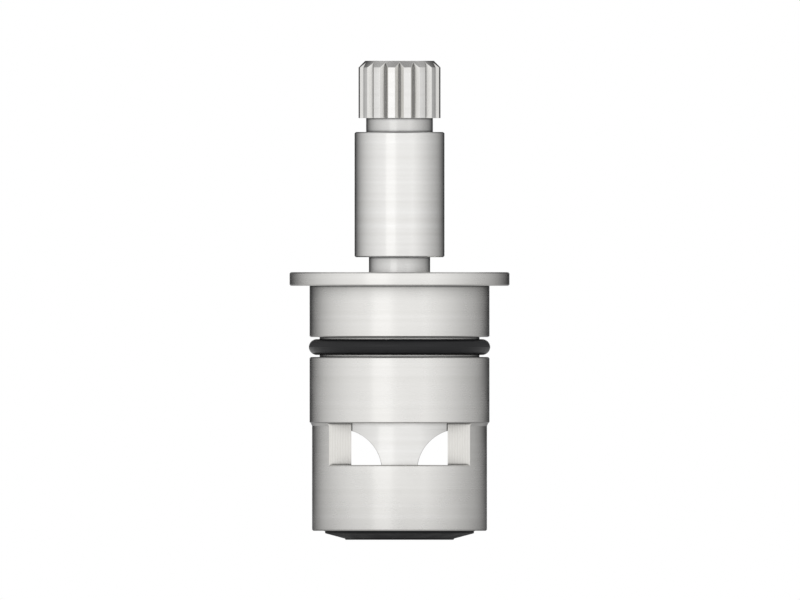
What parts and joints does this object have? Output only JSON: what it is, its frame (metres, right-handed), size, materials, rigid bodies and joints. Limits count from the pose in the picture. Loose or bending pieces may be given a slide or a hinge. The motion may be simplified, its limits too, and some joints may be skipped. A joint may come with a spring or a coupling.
{
  "type": "ceramic disc tap cartridge",
  "caption": "Flanged quarter-turn tap cartridge: splined spindle, barrel with sealing ring, windowed cage, ceramic discs and a tapered bottom seal.",
  "frame": {"origin": "on the axis, at the underside of the flange, where the cartridge seats in the tap", "axes": "+Z along the spindle towards the handle, -Y through the front window, +X to the right of it"},
  "size_m": [0.022, 0.022, 0.0479],
  "materials": {
    "body_metal": "turned and milled brass, satin nickel plating",
    "spindle_metal": "turned and milled brass, bright nickel plating",
    "spring_steel": "stamped stainless spring steel",
    "alumina": "sintered white alumina, lapped on the sliding faces",
    "acetal": "natural acetal, satin",
    "black_rubber": "black nitrile rubber, slightly greased",
    "seal_rubber": "moulded black ethylene propylene rubber, matt"
  },
  "bodies": {
    "cartridge": {"cartridge_body": "body_metal", "body_oring": "black_rubber", "clip_washer": "acetal", "thrust_washer": "acetal", "fixed_disc": "alumina", "bottom_seal": "seal_rubber", "seal_support_ring": "spring_steel"},
    "turning_spindle": {"spindle": "spindle_metal", "spindle_oring_upper": "black_rubber", "spindle_oring_lower": "black_rubber", "retaining_clip": "spring_steel", "moving_disc": "alumina"}
  },
  "joints": [
    {"name": "spindle_turn", "type": "hinge", "parent": "cartridge", "child": "turning_spindle", "pos_m": [0, 0, 0], "axis": [0, 0, 1], "range_deg": [0, 90]}
  ]
}
